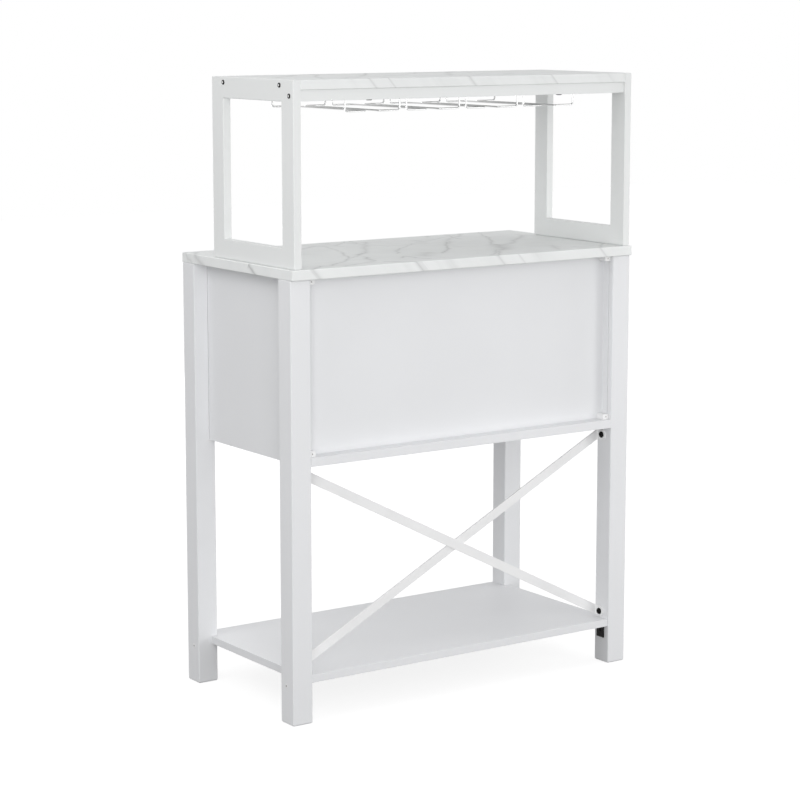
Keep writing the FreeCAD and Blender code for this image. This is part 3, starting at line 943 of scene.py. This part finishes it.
def hinge_screws():
    # Three staggered screws in each leaf, which ride with it
    mesh = pan_head("hinge_screw", hinge_screw_radius, hinge_screw_height)
    for side, sign in side_signs:
        leg_faces = [corner.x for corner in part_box("leg_front_" + side)]
        door_faces = [corner.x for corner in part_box("door_" + side)]
        fixed_x = min(leg_faces, key=abs) - sign * hinge_leaf_thickness
        moving_x = max(door_faces, key=abs) + sign * hinge_leaf_thickness
        for level in levels:
            leaf_screws("hinge_fixed_leaf_%s_%s" % (level, side), mesh, fixed_x, -sign)
            leaf_screws("hinge_moving_leaf_%s_%s" % (level, side), mesh, moving_x, sign)


def leaf_screws(leaf, mesh, face_x, facing):
    low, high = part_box(leaf)
    rear_y = high.y - hinge_screw_rear_distance
    places = ((rear_y, low.z + hinge_screw_end_distance),
              (rear_y - hinge_screw_stagger, (low.z + high.z) / 2),
              (rear_y, high.z - hinge_screw_end_distance))
    for number, (y, z) in enumerate(places, 1):
        fasten("%s_screw_%d" % (leaf, number), mesh, Vector((face_x, y, z)), (facing, 0, 0),
               materials["dark_screw"], node_body(leaf))


def leg_caps():
    # The low shelf's bolts: small white heads in the legs' outer faces, each with a dark steel hexagon
    # nearly filling its shallow socket, which paints the shade deep in a socket
    cap = domed_head("leg_cap", leg_cap_radius, leg_cap_height, hexagon(leg_cap_socket),
                     shallow_recess_share)
    cap_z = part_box("low_shelf")[0].z - leg_cap_drop
    outline = hexagon(leg_cap_socket)
    # Painted shade: a dark hexagon nearly filling the shallow socket, in place of the shade deep in a real
    # socket
    socket = stacked_rings("leg_cap_socket", ((outline, 0), (outline, leg_cap_height * leg_socket_shade_share)))
    for side, sign in side_signs:
        for end in ends:
            low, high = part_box("leg_%s_%s" % (end, side))
            y = high.y - leg_cap_inset if end == "rear" else low.y + leg_cap_inset
            place = Vector((high.x if sign > 0 else low.x, y, cap_z))
            fasten("leg_cap_%s_%s" % (end, side), cap, place, (sign, 0, 0),
                   materials["clip"], "base")
            fasten("leg_cap_socket_%s_%s" % (end, side), socket, place, (sign, 0, 0),
                   materials["dark_screw"], "base")


def seen_by_camera(nodes, links):
    # One for camera, glossy and transmitted rays, zero for the light that falls on the object
    path = nodes.new("ShaderNodeLightPath")
    seen = path.outputs["Is Camera Ray"]
    for ray in ("Is Glossy Ray", "Is Transmission Ray"):
        seen = calculated(nodes, links, "MAXIMUM", seen, path.outputs[ray])
    return seen


def floor_material():
    # Bright to the camera, so that the floor runs into the background and keeps a faint shadow
    material, nodes, links, shader = material_nodes("pale floor")
    vector = place_texture(nodes, links)
    tone = noise(nodes, links, vector, floor_tone_scale)
    shader.inputs["Roughness"].default_value = floor_roughness
    shader.inputs["Specular IOR Level"].default_value = 0.0
    links.new(ramp(nodes, links, tone, floor_tones), shader.inputs["Base Color"])
    faint = nodes.new("ShaderNodeBsdfDiffuse")
    faint.inputs["Color"].default_value = tint(floor_shadow_grey)
    glow = nodes.new("ShaderNodeEmission")
    glow.inputs["Strength"].default_value = floor_glow
    seen = nodes.new("ShaderNodeAddShader")
    links.new(faint.outputs["BSDF"], seen.inputs[0])
    links.new(glow.outputs["Emission"], seen.inputs[1])
    choice = nodes.new("ShaderNodeMixShader")
    links.new(seen_by_camera(nodes, links), choice.inputs[0])
    links.new(shader.outputs["BSDF"], choice.inputs[1])
    links.new(seen.outputs["Shader"], choice.inputs[2])
    links.new(choice.outputs["Shader"], nodes["Material Output"].inputs["Surface"])
    return material


def make_floor():
    bm = bmesh.new()
    bmesh.ops.create_grid(bm, x_segments=1, y_segments=1, size=floor_half)
    floor = linked("floor", mesh_from(bm, "floor"))
    floor.location.z = -floor_drop
    floor.data.materials.append(floor_material())


def make_world():
    # Soft grey light from all round, and white where the camera sees past the object
    world = bpy.data.worlds.new("white room")
    bpy.context.scene.world = world
    world.use_nodes = True
    nodes = world.node_tree.nodes
    links = world.node_tree.links
    soft = nodes["Background"]
    soft.inputs["Color"].default_value = (room_grey, room_grey, room_grey * room_blue_share, 1)
    white = nodes.new("ShaderNodeBackground")
    white.inputs["Color"].default_value = (1, 1, 1, 1)
    choice = nodes.new("ShaderNodeMixShader")
    links.new(seen_by_camera(nodes, links), choice.inputs[0])
    links.new(soft.outputs["Background"], choice.inputs[1])
    links.new(white.outputs["Background"], choice.inputs[2])
    links.new(choice.outputs["Shader"], nodes["World Output"].inputs["Surface"])


def make_lamps():
    # Large square lamps, each turned towards its point
    for name, place, aim, width, power in lamps:
        light = bpy.data.lights.new(name, "AREA")
        light.shape = "SQUARE"
        light.size = width
        light.energy = power
        lamp = linked(name, light)
        lamp.location = place
        lamp.rotation_mode = "QUATERNION"
        lamp.rotation_quaternion = (Vector(aim) - Vector(place)).to_track_quat("-Z", "Y")


def make_camera():
    camera = linked("camera", bpy.data.cameras.new("camera"))
    sideways = math.cos(camera_tilt)
    away = Vector((math.sin(camera_turn) * sideways, math.cos(camera_turn) * sideways,
                   math.sin(camera_tilt)))
    camera.location = camera_place
    camera.rotation_mode = "QUATERNION"
    camera.rotation_quaternion = away.to_track_quat("Z", "Y")
    camera.data.lens = camera_lens_mm
    camera.data.sensor_width = camera_frame_mm
    camera.data.shift_y = camera_shift_share
    camera.data.clip_end = camera_reach
    bpy.context.scene.camera = camera


finish_boards()
finish_metal_and_clips()
glass_rails()
brace_screws()
frame_bolts()
rail_bolts()
clip_screws()
bracket_screws()
hinge_screws()
leg_caps()
make_floor()
make_world()
make_lamps()
make_camera()
bpy.context.scene.view_settings.view_transform = "Standard"
